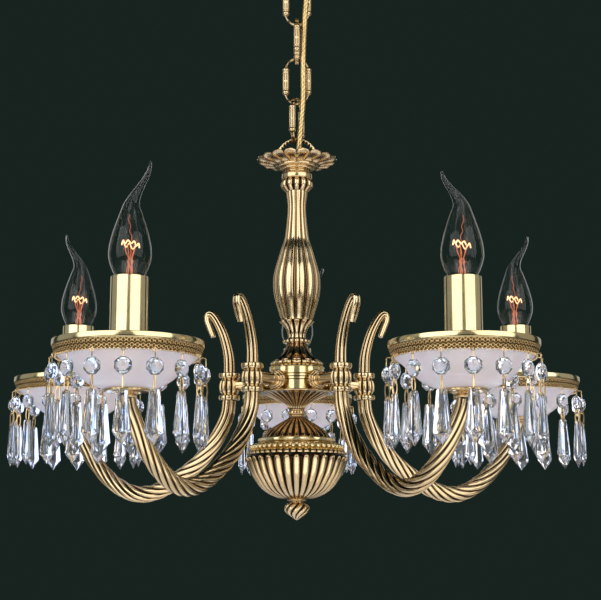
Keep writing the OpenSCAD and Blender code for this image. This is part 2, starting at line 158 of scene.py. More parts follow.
def spun(rows, turns, relief):
    """Rows of radius, height and groove depth turned about Z, and the wear and painted shade of each point.
    """
    angle = np.arange(turns)[None, :] * TURN / turns
    crest = relief(angle, rows[:, None, 1]) if relief else np.ones((1, 1))
    crest = np.broadcast_to(crest, (len(rows), turns))
    r = rows[:, None, 0] - rows[:, None, 2] * (1 - crest)
    height = np.broadcast_to(rows[:, None, 1], r.shape)
    grid = np.stack([r * np.cos(angle), r * np.sin(angle), height], -1)
    return grid, np.where(rows[:, None, 2] > 0, crest, PLAIN_WEAR_AND_SHADE)


def lathe(outline, turns, relief=None, bore=ROD_BORE, inner=None):
    """A turned piece. outline runs from the bottom up as radius, height and groove depth.

    relief(angle, height) gives 0 at the full groove depth and 1 where the radius stays. The inside
    is a plain bore, or the inner outline from the top down.
    """
    outer = grooved(outline)
    if inner is None:
        inner = [(bore, outer[-1][1]), (bore, outer[0][1])]
    grid, wear_and_shade = spun(np.concatenate([outer, grooved(inner)]), turns, relief)
    return shape(grid, wear_and_shade, True, True)


def solid(outline, turns, relief=None):
    """A turned piece without a bore, closed by small faces at its two ends."""
    grid, wear_and_shade = spun(grooved(outline), turns, relief)
    return shape(grid, wear_and_shade, False, True, True)


def frames(path):
    """Two unit vectors across each point of a path, carried along it without spin."""
    heading = np.gradient(path, axis=0)
    heading /= np.linalg.norm(heading, axis=1)[:, None]
    side = np.cross([0, 1, 0] if abs(heading[0][1]) < 0.9 else [1, 0, 0], heading[0])
    sides = []
    for h in heading:
        side = side - h * np.dot(side, h)
        side /= np.linalg.norm(side)
        sides.append(side)
    sides = np.array(sides)
    return sides, np.cross(heading, sides)


def around(path, radii, angle):
    """Rings of points about a path. radii and angle are arrays of points by columns."""
    u, v = frames(path)
    return (path[:, None, :] + radii[..., None] * (np.cos(angle)[..., None] * u[:, None, :]
                                                   + np.sin(angle)[..., None] * v[:, None, :]))


def tube(path, radius, sides, lobes=0, depth=0.0, twist=0.0, share=0.88):
    """A rod along a path, with lobes ribs that turn by twist along it."""
    path = np.array(path, float)
    radius = np.broadcast_to(radius, len(path))[:, None]
    turned = np.broadcast_to(twist, len(path))[:, None]
    angle = np.arange(sides)[None, :] * TURN / sides
    crest = ribs(angle - turned, lobes, share) if lobes else np.ones((len(path), sides))
    grid = around(path, radius * (1 - depth * (1 - crest)), np.broadcast_to(angle, crest.shape))
    # The rib crests also set the point attribute, so the grooves get painted shade.
    return shape(grid, crest if lobes else PLAIN_WEAR_AND_SHADE, False, True, True)


def ring(radius, wire, turns, sides, arc=TURN, squash=1.0):
    """A wire ring, or part of one, in the XZ plane."""
    whole = arc == TURN
    a = np.linspace(0, arc, turns + 1)[:turns + (0 if whole else 1)]
    path = np.stack([radius * np.cos(a), 0 * a, squash * radius * np.sin(a)], -1)
    if not whole:
        return tube(path, wire, sides)
    b = np.arange(sides)[None, :] * TURN / sides
    out = path / radius
    grid = path[:, None, :] + wire * (np.cos(b)[..., None] * out[:, None, :]
                                      + np.sin(b)[..., None] * np.array([0, 1, 0]))
    return shape(grid, PLAIN_WEAR_AND_SHADE, True, True)


def pearl(radius, turns, rows):
    """A small ball with flat ends."""
    last_row = 1.35
    a = np.linspace(-last_row, last_row, rows)
    return solid([(radius * math.cos(t), radius * math.sin(t)) for t in a], turns)


def facets(points):
    """The convex stone through some points."""
    work = bmesh.new()
    for p in points:
        work.verts.new(p)
    bmesh.ops.convex_hull(work, input=work.verts)
    loose = [v for v in work.verts if not v.link_faces]
    bmesh.ops.delete(work, geom=loose, context="VERTS")
    work.verts.index_update()
    corners = np.array([v.co[:] for v in work.verts])
    faces = [[v.index for v in f.verts] for f in work.faces]
    work.free()
    return corners, faces, np.full(len(corners), PLAIN_WEAR_AND_SHADE)


def moved(part, offset=(0, 0, 0), turn=0.0, matrix=None):
    """A shape turned about the vertical (or by a matrix) and then shifted."""
    points, faces, wear_and_shade = part
    if matrix is None:
        matrix = Matrix.Rotation(turn, 3, "Z")
    return points @ np.array(matrix).T + np.array(offset, float), faces, wear_and_shade


def arm_angle(i):
    """The direction of an arm, seen from above."""
    return FIRST_ARM + TURN * i / ARMS


def at_arms(parts):
    """Shapes drawn along +X, repeated at all arms."""
    return [moved(p, turn=arm_angle(i)) for i in range(ARMS) for p in parts]


def at_lamps(parts):
    """Shapes drawn about their own axis, repeated at all lamps."""
    return [moved(p, (LAMPS[i][0], LAMPS[i][1], 0), arm_angle(i)) for i in range(ARMS) for p in parts]


def build(name, parts, material, body, stands_for=(), crisp=35.0):
    """Joins shapes into one named piece that rides on a body and stands for CAD nodes."""
    points, faces, wear_and_shade, first = [], [], [], 0
    for p, f, w in parts:
        points.append(p)
        wear_and_shade.append(w)
        faces += [[v + first for v in q] for q in f]
        first += len(p)
    points = (np.concatenate(points) + [0, 0, TOP]) * MM
    mesh = bpy.data.meshes.new(name)
    mesh.from_pydata(points.tolist(), [], faces)
    # This point attribute holds wear and painted shade: 1 on burnished crests, 0 in grooves, which the
    # brass colours near black.
    mesh.attributes.new("wear_and_shade", "FLOAT", "POINT").data.foreach_set(
        "value", np.concatenate(wear_and_shade).astype(np.float32))
    work = bmesh.new()
    work.from_mesh(mesh)
    bmesh.ops.recalc_face_normals(work, faces=work.faces)
    work.to_mesh(mesh)
    work.free()
    mesh.polygons.foreach_set("use_smooth", [crisp > 0] * len(mesh.polygons))
    if crisp > 0:
        mesh.set_sharp_from_angle(angle=math.radians(crisp))
    mesh.materials.append(material)
    piece = bpy.data.objects.new(name, mesh)
    bpy.context.scene.collection.objects.link(piece)
    if body:
        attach(piece, body)
    if stands_for:
        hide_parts(*stands_for)
    return piece


# ---------------------------------------------------------------- materials

def shader(name):
    """A new material with its nodes, its links and its Principled node."""
    material = bpy.data.materials.new(name)
    material.use_nodes = True
    nodes, links = material.node_tree.nodes, material.node_tree.links
    return material, nodes, links, nodes["Principled BSDF"]


def noise(nodes, links, scale, detail=4.0):
    """Cloudy values from 0 to 1."""
    place = nodes.new("ShaderNodeTexCoord")
    texture = nodes.new("ShaderNodeTexNoise")
    texture.inputs["Scale"].default_value = scale
    texture.inputs["Detail"].default_value = detail
    links.new(place.outputs["Object"], texture.inputs["Vector"])
    return texture.outputs["Fac"]


def ramp(nodes, links, value, stops):
    """Colours along a value. stops are (place, colour)."""
    node = nodes.new("ShaderNodeValToRGB")
    ends = node.color_ramp.elements
    while len(ends) < len(stops):
        ends.new(0.5)
    for end, (place, colour) in zip(ends, stops):
        end.position = place
        end.color = (*colour, 1)
    links.new(value, node.inputs["Fac"])
    return node.outputs["Color"]


def to_range(nodes, links, value, low, high):
    """A value from 0 to 1 stretched to run from low to high."""
    node = nodes.new("ShaderNodeMapRange")
    node.inputs["To Min"].default_value = low
    node.inputs["To Max"].default_value = high
    links.new(value, node.inputs["Value"])
    return node.outputs["Result"]


def multiplied(nodes, links, a, b):
    """Two colours multiplied. The numbers are the Mix node's colour sockets."""
    node = nodes.new("ShaderNodeMix")
    node.data_type = "RGBA"
    node.blend_type = "MULTIPLY"
    node.inputs[0].default_value = 1.0
    links.new(a, node.inputs[6])
    links.new(b, node.inputs[7])
    return node.outputs[2]


def bump(nodes, links, base, value, strength, distance):
    """Fine unevenness of a surface."""
    node = nodes.new("ShaderNodeBump")
    node.inputs["Strength"].default_value = strength
    node.inputs["Distance"].default_value = distance
    links.new(value, node.inputs["Height"])
    links.new(node.outputs["Normal"], base.inputs["Normal"])


def brass(name, crest, flank, recess, rough, grain, tarnish):
    """Cast brass that is burnished on the crests and darkened with painted shade in the recesses."""
    material, nodes, links, base = shader(name)
    # The point attribute sets the tone: burnished crests lighter, and recesses near black as painted shade.
    wear_and_shade = nodes.new("ShaderNodeAttribute")
    wear_and_shade.attribute_name = "wear_and_shade"
    blend = nodes.new("ShaderNodeMath")
    blend.operation = "MULTIPLY_ADD"
    stain = noise(nodes, links, 60.0, 6.0)
    shift = to_range(nodes, links, stain, -tarnish, tarnish)
    blend.inputs[1].default_value = 1.0
    links.new(wear_and_shade.outputs["Fac"], blend.inputs[0])
    links.new(shift, blend.inputs[2])
    tone = ramp(nodes, links, blend.outputs[0],
                [(0.24, recess), (0.52, flank), (0.84, crest), (1.0, crest)])
    cloud = ramp(nodes, links, noise(nodes, links, 22.0, 5.0),
                 [(0.3, (0.86, 0.80, 0.72)), (0.7, (1.0, 1.0, 1.0))])
    links.new(multiplied(nodes, links, tone, cloud), base.inputs["Base Color"])
    base.inputs["Metallic"].default_value = 1.0
    base.inputs["Coat Weight"].default_value = 0.15
    base.inputs["Coat Roughness"].default_value = 0.12
    links.new(to_range(nodes, links, noise(nodes, links, 140.0, 6.0), rough * 0.7, rough * 1.5),
              base.inputs["Roughness"])
    bump(nodes, links, base, noise(nodes, links, 900.0, 3.0), grain, 0.0002)
    return material


def plain(name, colour, second, rough, scale, grain, metallic=0.0):
    """A moulded, drawn or plated surface with slight cloudiness."""
    material, nodes, links, base = shader(name)
    links.new(ramp(nodes, links, noise(nodes, links, scale), [(0.3, colour), (0.7, second)]),
              base.inputs["Base Color"])
    base.inputs["Metallic"].default_value = metallic
    links.new(to_range(nodes, links, noise(nodes, links, scale * 3), rough * 0.75, rough * 1.3),
              base.inputs["Roughness"])
    bump(nodes, links, base, noise(nodes, links, scale * 12), grain, 0.0002)
    return material


def glass(name, tints, rough, ior, clear=1.0):
    """Clear glass with a faint play of tints, as cut crystal shows."""
    material, nodes, links, base = shader(name)
    links.new(ramp(nodes, links, noise(nodes, links, 130.0, 2.0), tints), base.inputs["Base Color"])
    base.inputs["Transmission Weight"].default_value = clear
    base.inputs["IOR"].default_value = ior
    links.new(to_range(nodes, links, noise(nodes, links, 300.0), rough * 0.5, rough * 1.5),
              base.inputs["Roughness"])
    bump(nodes, links, base, noise(nodes, links, 80.0), 0.05, 0.0002)
    return material


# The third colour of each brass is its recess colour: near black, painted shade for grooves and hollows.
ANTIQUE = brass("antique_brass", (0.87, 0.70, 0.43), (0.40, 0.265, 0.125), (0.016, 0.010, 0.004),
                0.15, 0.05, 0.09)
BRONZE = brass("dark_bronze", (0.72, 0.52, 0.33), (0.34, 0.21, 0.11), (0.012, 0.008, 0.004),
               0.17, 0.06, 0.10)
SATIN = brass("satin_brass", (0.90, 0.73, 0.45), (0.54, 0.37, 0.17), (0.030, 0.019, 0.007),
              0.16, 0.04, 0.08)
GILT = brass("gilt_filigree", (0.62, 0.45, 0.22), (0.34, 0.23, 0.09), (0.070, 0.045, 0.015),
             0.22, 0.06, 0.08)
POLISHED = brass("polished_brass", (0.96, 0.84, 0.50), (0.91, 0.76, 0.42), (0.16, 0.10, 0.03),
                 0.15, 0.02, 0.04)
ZINC = plain("zinc_steel", (0.60, 0.60, 0.57), (0.72, 0.71, 0.68), 0.32, 60.0, 0.1, 1.0)
NICKEL = plain("cap_aluminium", (0.72, 0.72, 0.70), (0.83, 0.82, 0.80), 0.25, 80.0, 0.1, 1.0)
PLASTIC = plain("white_plastic", (0.80, 0.79, 0.74), (0.88, 0.87, 0.83), 0.45, 70.0, 0.1)
HOLDER = plain("holder_body", (0.83, 0.80, 0.72), (0.90, 0.88, 0.82), 0.5, 70.0, 0.1)
SHEATH = brass("cable_sheath", (0.80, 0.62, 0.30), (0.62, 0.44, 0.17), (0.22, 0.14, 0.04), 0.3, 0.1, 0.1)
CRYSTAL = glass("crystal",
                [(0.34, (1.0, 0.93, 0.86)), (0.44, (0.95, 0.97, 1.0)), (0.60, (0.76, 0.86, 1.0))],
                0.004, 1.56, 0.965)
CLEAR = glass("clear_glass", [(0.3, (0.985, 0.99, 0.99)), (0.7, (1.0, 1.0, 1.0))], 0.004, 1.33)


def frosted():
    """Acid-frosted white glass with a faint pink cast."""
    material, nodes, links, base = shader("frosted_glass")
    links.new(ramp(nodes, links, noise(nodes, links, 18.0),
                   [(0.3, (0.89, 0.81, 0.83)), (0.7, (0.85, 0.81, 0.89))]), base.inputs["Base Color"])
    base.inputs["Transmission Weight"].default_value = 0.35
    base.inputs["Subsurface Weight"].default_value = 0.35
    base.inputs["Subsurface Scale"].default_value = 0.01
    base.inputs["Coat Weight"].default_value = 0.3
    base.inputs["Coat Roughness"].default_value = 0.1
    # The faint pink emission is a painted glow that brightens the dishes, which are no lamps.
    base.inputs["Emission Color"].default_value = (1.0, 0.90, 0.95, 1)
    base.inputs["Emission Strength"].default_value = 0.03
    links.new(to_range(nodes, links, noise(nodes, links, 200.0), 0.32, 0.5), base.inputs["Roughness"])
    bump(nodes, links, base, noise(nodes, links, 1500.0), 0.15, 0.0001)
    return material


def glowing(name, first, second, strength):
    """Wire at an orange glow: on the filament the lamp's own light, on the supports a painted glow."""
    material, nodes, links, base = shader(name)
    links.new(ramp(nodes, links, noise(nodes, links, 400.0), [(0.3, first), (0.7, second)]),
              base.inputs["Emission Color"])
    base.inputs["Emission Strength"].default_value = strength
    base.inputs["Base Color"].default_value = (0.5, 0.25, 0.12, 1)
    base.inputs["Metallic"].default_value = 1.0
    return material


FROSTED = frosted()
FILAMENT = glowing("filament", (1.0, 0.42, 0.16), (1.0, 0.62, 0.36), 2.6)
# The supports and hook wires are no lamps: their orange emission is a painted glow.
EMBER = glowing("filament_supports", (1.0, 0.16, 0.06), (0.9, 0.30, 0.16), 0.55)


# ---------------------------------------------------------------- the centre stack

def fluted(count, share, lean=0.0, level=0.0, full=0.6):
    """Ribs down a turned piece, leaning by some radians per millimetre of height."""
    return lambda angle, z: ribs(angle - lean * (z - level), count, share, full)


def reeded(angle, z):
    """The stem's twelve broad ribs, with a thin bead in the groove between two of them."""
    count, bead_share = 12, 0.17
    turned = angle - math.radians(10)
    bead = np.cos(np.clip((1 - away(turned, count)) / bead_share, 0, 1) * math.pi / 2) ** 0.7
    return np.maximum(ribs(turned, count, 0.78, 0.35), 0.5 * bead)


def gadroons(angle, z):
    """Broad lobes down the bowl, each ending under its rim in a round arch."""
    share = 0.82
    far = np.clip(away(angle, GADROONS) / share, 0, 1)
    arch = -78.2 - 4.6 * far ** 2.4
    return ribs(angle, GADROONS, share, 0.5) * np.clip((arch - z) / 1.3, 0, 1) ** 0.5


def dashed(split, low_count, high_count):
    """Short beads below a level and flutes above it."""
    return lambda angle, z: np.where(z < split, ribs(angle, low_count, 0.80, 0.3),
                                     ribs(angle, high_count, 0.80))


def turned_piece(name, outline, relief=None, *, turns, material=ANTIQUE,
                 steps=6, inner=None):
    """A turned piece of the centre stack, which stands for the CAD node of its name."""
    line = smooth(outline, steps) if steps > 1 else outline
    build(name + "_detail", [lathe(line, turns, relief, inner=inner)], material, "chandelier",
          [name])


def stem():
    """The fluted stem with its foot, and the tulip and collar at its neck."""
    turned_piece("stem", [
        (13.6, 45, 0.7), (14.8, 47, 1.2), (17.4, 55.6, 1.7), (20.2, 65, 2.0), (21.8, 74, 2.1),
        (21.9, 84, 2.1), (20.3, 93, 2.0), (17.6, 102.5, 1.8), (14.8, 112, 1.5), (11.6, 121.4, 1.3),
        (10.2, 131, 1.1), (8.8, 145, 1.0), (8.6, 155, 1.0), (9.6, 163, 1.0), (9.8, 166.8, 0.8)
    ], reeded, turns=432)
    turned_piece("neck_tulip", [
        (10.2, 166.8, 1.2), (12.2, 168.4, 1.8), (14.8, 172, 2.4), (14.6, 176, 2.2), (13, 178.2, 1.4),
        (11.8, 178.4, 0.6)
    ], fluted(12, 0.82), turns=288)
    turned_piece("neck_collar", [
        (11.8, 178.4), (13.6, 178.7), (14.2, 180), (14.2, 182.8), (13.4, 184.4), (11.6, 184.8),
        (11.2, 186.4), (12.4, 186.9), (15.6, 187.5), (16.1, 188.7), (15.4, 189.6), (17.8, 189.8),
        (19.2, 190.6), (19.4, 192), (19.2, 193)
    ], steps=4, material=SATIN, turns=96)
    turned_piece("stem_foot", [
        (11.6, 24.3, 0.5), (12.7, 24.9, 1.3), (12.9, 26, 1.4), (12.5, 27.1, 1.1), (9.2, 27.8, 0.4),
        (8.1, 30.5, 0.9), (8.6, 34, 1.1), (10.5, 38.2, 1.5), (13.2, 41.6, 1.9), (15.8, 43.8, 2.2),
        (15.8, 44.8, 2.0), (13.4, 45, 1.2)
    ], dashed(27.6, 16, 12), turns=336)


def cup():
    """The petalled cup under the hanging loop."""
    petals, turns = 18, 360
    angle = np.arange(turns)[None, :] * TURN / turns
    crest = ribs(angle, petals, 1.0, 0.5)
    under = smooth([(ROD_BORE, 193), (18.6, 193), (20.4, 192.6), (23, 193.4), (28, 194.2), (33, 195),
                    (36.6, 196.2), (37.6, 197.4)], 4)
    over = smooth([(37.0, 198.2), (33, 196.6), (28, 195.6), (21, 194.6), (ROD_BORE, 194.2)], 4)
    loop = np.concatenate([under, over])
    far = np.clip((loop[:, None, 0] - 19) / 18.6, 0, 1)
    panel = np.sin(np.clip((loop[:, None, 0] - 20.5) / 14.0, 0, 1) * math.pi)
    r = loop[:, None, 0] - 2.6 * far ** 2 * (1 - crest)
    inset = np.clip(crest * 2.2 - 1.0, 0, 1)
    z = loop[:, None, 1] + 2.2 * far * (crest - 0.55) + 0.9 * panel * inset
    grid = np.stack([r * np.cos(angle), r * np.sin(angle), z], -1)
    # The sunken panels and grooves are darkened as painted shade.
    sunk = 1 - panel * inset * 0.75
    wear_and_shade = np.where(far > 0, np.minimum(sunk, 0.35 + 0.65 * crest), 0.8)
    build("top_cup_detail", [shape(grid, wear_and_shade, True, True)], ANTIQUE, "chandelier",
          ["top_cup"])


def loop():
    """The half ring that hangs on the chain, with small teeth along its inside."""
    radius, wire, teeth = 17.4, 1.9, 15
    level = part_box("hanging_loop")[1][2] / MM - TOP
    centre = level - wire - radius
    base = level - 25.8
    a = np.linspace(0, math.pi, 121)
    b = np.arange(16) * TURN / 16
    tooth = 0.5 + 0.5 * np.cos(a * teeth * 2)
    inward = np.clip(-np.cos(b), 0, 1)[None, :]
    r = wire + 0.9 * inward * (tooth[:, None] - 0.4)
    out = np.stack([np.cos(a), 0 * a, np.sin(a)], -1)
    grid = (radius * out)[:, None, :] + (r * np.cos(b))[..., None] * out[:, None, :] + (
        1.15 * r * np.sin(b))[..., None] * np.array([0, 1, 0])
    # The inside between the teeth is darkened as painted shade.
    wear_and_shade = np.where(inward > 0.3, 0.35 + 0.5 * tooth[:, None], 0.9)
    parts = [moved(shape(grid, wear_and_shade, False, True, True), (0, 0, centre))]
    for side in (-1, 1):
        leg = [(side * radius, 0, z) for z in (base, base + 3, centre + 0.4)]
        parts.append(tube(leg, [3.4, 2.2, wire], 16))
    disc = [(19.6, base), (20.3, base + 0.6), (20.3, base + 1.8), (19.7, base + 2.3)]
    parts.append(lathe(disc, 96, bore=3.9))
    build("hanging_loop_detail", parts, SATIN, "chandelier", ["hanging_loop"])


def hub():
    """The grooved drum that holds the arms, and the mouldings above and below it."""
    grooves = np.array([-10.6, -8.0, -5.4])
    wall = [(24.6, -20), (25, -19.6),
            *[(25, z + d, 0.7) for z in grooves for d in (-0.5, -0.3, 0.3, 0.5)],
            (25, 0.8), (25.4, 1.0), (25.5, 1.6), (25.2, 2.2)]

    def beside_grooves(angle, z):
        return np.where(np.abs(z[..., None] - grooves).min(-1) < 0.4, 0.0, 1.0)

    turned_piece("hub", wall, beside_grooves, steps=1, material=POLISHED,
                 turns=128, inner=[(ROD_BORE, 2.2), (ROD_BORE, -0.8), (21.5, -0.8), (21.5, -20)])
    turned_piece("hub_bead_ring", [
        (21.6, 2.2, 0.6), (21.9, 3.4, 0.8), (23.4, 4.0, 2.0), (24.1, 5.4, 2.6), (23.5, 6.8, 2.2),
        (21.6, 7.4, 0.8)
    ], fluted(16, 0.92, full=0.2), material=SATIN, turns=384,
        inner=[(18, 7.4), (18, 2.2)])
    turned_piece("hub_cap", [
        (21.4, 7.4, 0.8), (20.8, 9.0, 1.3), (17.8, 11.0, 1.4), (15.4, 12.7, 1.4), (13.2, 15.4, 1.3),
        (11.7, 18, 1.1), (10.5, 20.4, 0.9), (9.4, 22.6, 0.6), (8.8, 24.3, 0.3)
    ], fluted(12, 0.84), material=BRONZE, turns=288)
    turned_piece("hub_bell", [
        (7.4, -35.5, 0.5), (8.0, -33.8, 0.8), (10, -31.6, 1.1), (14, -29.2, 1.5), (19, -26.9, 1.9),
        (24, -24.6, 2.1), (28.5, -22.8, 1.8), (31.8, -21.9, 0.8), (33.2, -21.6), (33.7, -20.8),
        (33.4, -20)
    ], fluted(28, 0.80), turns=560)
    turned_piece("waist_ring", [
        (6.2, -43), (7.0, -42.6), (7.2, -41.6), (6.6, -41), (8.0, -40.4), (8.2, -39), (8.0, -37.8),
        (6.8, -37.2), (7.2, -36.4), (6.4, -35.5)
    ], material=SATIN, turns=64, steps=4)


def bowl():
    """The gadrooned bowl with its lid, its row of pearls and its finial."""
    turned_piece("bowl_lid", [
        (32.6, -62.2), (31, -61.4, 0.6), (29.3, -58.9, 1.5), (24.8, -54.4, 1.9), (18.5, -50, 1.7),
        (12.4, -46.4, 1.1), (9, -44.4, 0.5), (7.4, -43, 0.2)
    ], fluted(28, 0.76), inner=[(ROD_BORE, -43), (ROD_BORE, -46), (9, -46.5), (17.5, -51.6),
                                (23.5, -56), (30, -63)], material=BRONZE, turns=560)
    ledge = smooth([(32, -66), (34.2, -65.9), (35.1, -65.2), (35.2, -63.4), (34.6, -62.4),
                    (33, -62.1)], 4)
    build("bowl_lid_ledge", [lathe(ledge, 120, inner=[(30.4, -62.1), (30.4, -66)])], POLISHED,
          "chandelier")
    pearls, pearls_r = 46, 41.2
    beads = [moved(pearl(2.1, 16, 9), (pearls_r * math.cos(a), pearls_r * math.sin(a), -70.2))
             for a in np.arange(pearls) * TURN / pearls]
    build("bowl_pearls", beads, POLISHED, "chandelier")
    turned_piece("pearl_ring", [
        (42.6, -77), (44.6, -76.8, 0.8), (45.2, -75.6, 1.4), (44.2, -74.2, 1.0), (42.6, -73.2),
        (41.4, -72.4), (39.4, -70.8), (39.0, -69.4), (39.4, -68), (38.4, -67.2), (36.4, -66.8),
        (35.4, -66)
    ], fluted(pearls, 0.9), material=SATIN, turns=pearls * 12,
        inner=[(33, -66), (33, -67.5), (37.5, -70.5), (40, -73.5), (41, -77)], steps=3)
    outside = [(9.5, -116, 0.2), (14, -115.6, 0.9), (18.9, -114.3, 1.4), (24.8, -111.7, 1.9),
               (30.1, -108.1, 2.2), (34.4, -103.9, 2.4), (37.8, -99.2, 2.5), (40.8, -94.6, 2.5),
               (42.8, -90.3, 2.5), (45, -84.6, 2.4), (46, -80.6, 2.1), (45.8, -78.2, 1.7),
               (45.2, -77, 1.2)]
    inside = [(42.0, -77), (40.8, -84), (38.3, -91), (34.4, -98), (28, -105), (18, -111.4),
              (ROD_BORE, -113.6), (ROD_BORE, -116)]
    turned_piece("bowl", outside, gadroons, inner=inside, turns=GADROONS * 20)
    finial = smooth([
        (0.3, -134.6), (2.0, -133.9), (4.4, -132.2, 0.4), (7.6, -130, 1.0), (10.4, -127.4, 1.6),
        (11.6, -124.6, 1.9), (10.6, -121.8, 1.5), (7.8, -119.8, 0.8), (6.0, -118.9), (6.6, -118.2),
        (8.4, -117.6), (8.9, -116.8), (8.4, -116)
    ], 6)
    build("finial_detail", [solid(finial, 180, fluted(9, 0.84, lean=0.09, level=-124))], ANTIQUE,
          "chandelier", ["finial"])


# ---------------------------------------------------------------- arms

ARM_LINE = [(65.5, -25.5), (67.5, -40), (77, -60), (92, -79), (108, -92), (127, -104), (146, -110),
            (163, -108.5), (181, -99), (197, -84), (209, -68), (219, -52), (LAMP_R, -44)]
SCROLL_LINE = [(65.5, 0), (66, 12.4), (68.2, 24), (72.6, 37.6), (78.4, 49), (83.8, 55.4), (87.4, 55.2),
               (88.2, 50.6), (85.4, 42.8), (82, 34.4)]
STUB_LEVEL = -11.5


def upright(line):
    """A line of radius and level as points in the XZ plane."""
    return np.stack([line[:, 0], 0 * line[:, 0], line[:, 1]], -1)


def arm_tubes():
    """Arms cast as eight ribs that run straight at the ends and twist like rope between."""
    path = upright(smooth(ARM_LINE, 14))
    length = np.concatenate([[0], np.cumsum(np.linalg.norm(np.diff(path, axis=0), axis=1))])
    part = length / length[-1]
    rate = math.radians(3.9) * np.clip(np.sin(math.pi * np.clip((part - 0.06) / 0.88, 0, 1)), 0, 1) ** 0.8
    twist = np.concatenate([[0], np.cumsum(rate[1:] * np.diff(length))])
    radius = 6.4 + 1.3 * np.sin(math.pi * part)
    depth = 0.16 + 0.05 * np.sin(math.pi * part)
    sides = 160
    angle = np.arange(sides)[None, :] * TURN / sides
    crest = ribs(angle - twist[:, None], 8, 0.88, 0.5)
    radii = radius[:, None] * (1 - depth[:, None] * (1 - crest))
    # The rib crests also set the point attribute, so the grooves get painted shade.
    rope = shape(around(path, radii, np.broadcast_to(angle, crest.shape)), crest, False, True, True)
    for i in range(ARMS):
        build(f"arm_rope_{i + 1}", [moved(rope, turn=arm_angle(i))], ANTIQUE, "chandelier",
              [f"arm_tube_{i + 1}"])


def scrolls():
    """Fluted horns over the clamps, folded over at the top into a hanging leaf with a centre vein."""
    path = upright(smooth(SCROLL_LINE, 12))
    part = np.linspace(0, 1, len(path))
    places = [0, 0.2, 0.5, 0.62, 0.70, 0.78, 0.92, 1.0]
    thick = np.interp(part, places, [5.3, 4.7, 3.9, 3.5, 3.0, 2.8, 2.7, 2.3])[:, None]
    wide = np.interp(part, places, [5.3, 4.7, 3.9, 3.6, 3.6, 3.8, 3.7, 3.2])[:, None]
    leaf = np.clip((part - 0.60) / 0.08, 0, 1)[:, None]
    angle = np.arange(128)[None, :] * TURN / 128
    flutes = ribs(angle + math.pi / 7, 7, 0.80)
    vein = 1 - np.exp(-(np.sin(angle) / 0.22) ** 2) * (1 - np.clip((part[:, None] - 0.94) / 0.06, 0, 1))
    crest = flutes * (1 - leaf) + vein * leaf
    grow = 1 - (0.22 * (1 - leaf) + 0.26 * leaf) * (1 - crest)
    u, v = frames(path)
    grid = (path[:, None, :] + (thick * grow * np.cos(angle))[..., None] * u[:, None, :]
            + (wide * grow * np.sin(angle))[..., None] * v[:, None, :])
    # The flute and vein crests also set the point attribute, so the grooves get painted shade.
    build("arm_scroll_horns", at_arms([shape(grid, crest, False, True, True)]), ANTIQUE, "chandelier",
          ["arm_scrolls"])


def lying(part):
    """A shape turned from standing on Z to lying along +X."""
    return moved(part, matrix=Matrix.Rotation(math.pi / 2, 3, "Y"))


def clamps():
    """Lobed barrels between dashed mouldings, joined to the hub by a stub with a rosette."""
    x = ARM_LINE[0][0]
    barrel = smooth([
        (6.2, -25.5), (9.2, -25.4, 0.3), (9.9, -24.2, 0.8), (9.9, -22.4, 0.8), (9.2, -21.2, 0.3),
        (7.6, -20.7, 0.2), (7.2, -20.0, 0.5), (8.6, -18.6, 1.5), (9.4, -16.2, 2.0), (9.7, -13.2, 2.1),
        (9.4, -10.2, 2.0), (8.6, -7.8, 1.5), (7.2, -6.4, 0.5), (7.6, -5.7, 0.2), (9.2, -5.2, 0.3),
        (9.9, -4.0, 0.8), (9.9, -1.9, 0.8), (9.2, -0.5, 0.3), (6.2, 0)
    ], 5)
    lobes_middle, lobes_reach = -13.2, 7.2

    def relief(angle, z):
        lobes, dashes = ribs(angle, 10, 0.84), ribs(angle, 10, 0.90, 0.3)
        return np.where(np.abs(z - lobes_middle) < lobes_reach, lobes, dashes)

    stub = smooth([
        (2.8, 25), (5.3, 25), (5.3, 28), (5.5, 29.8), (9.0, 30), (9.4, 30.8), (8.8, 31.8), (7.4, 32),
        (7.9, 32.9), (7.4, 33.9), (6.2, 34.1), (6.6, 34.9), (6.0, 35.8), (5.3, 36.2), (6.0, 38.5),
        (6.2, 41), (5.6, 44), (5.2, x - 6), (2.8, x - 6)
    ], 4)
    petals, petals_r = 16, 8.15
    rosette = [lying(moved(pearl(1.15, 8, 5), (petals_r * math.cos(a), petals_r * math.sin(a), 31.9)))
               for a in np.arange(petals) * TURN / petals]
    stub_part = lying(lathe(stub, 64, bore=2.6))
    raised = [moved(p, (0, 0, STUB_LEVEL)) for p in [stub_part, *rosette]]
    barrel_part = moved(lathe(barrel, 220, relief, bore=4.1), (x, 0, 0))
    build("arm_clamp_barrels", at_arms([barrel_part, *raised]), SATIN, "chandelier",
          ["arm_clamps"])


# ---------------------------------------------------------------- lamps

def collars():
    """The collars that carry the dishes on the ends of the arms."""
    outline = smooth([(6.6, -44), (7.6, -43.6), (7.9, -42.6), (7.4, -41.8), (9.4, -41), (12, -39.9),
                      (17.4, -39.4), (18.3, -38.8), (18.3, -37.5), (17.8, -37)], 4)
    build("dish_collar_cones", at_lamps([lathe(outline, 72)]), SATIN, "chandelier",
          ["dish_collars"])


def dishes():
    """Frosted conical dishes with a fine step round the outside."""
    outside = smooth([(17, -37), (18.2, -37), (26, -34.8), (34, -30.6), (40.2, -25)], 5)
    upper = smooth([(41.2, -24.2), (42.2, -23.2), (48.5, -17.2), (53.6, -13.2), (54.4, -12),
                    (54.5, -10.2)], 5)
    inside = smooth([(53.8, -10), (51.8, -11.2), (46.4, -15.2), (39.6, -21), (32.8, -26.6), (25, -31),
                     (17, -34), (ROD_BORE, -34)], 5)
    dish = lathe([*outside.tolist(), *upper.tolist()], 120, inner=[*inside.tolist(), (ROD_BORE, -37)])
    build("frosted_dishes", at_lamps([dish]), FROSTED, "chandelier",
          ["glass_dishes"])


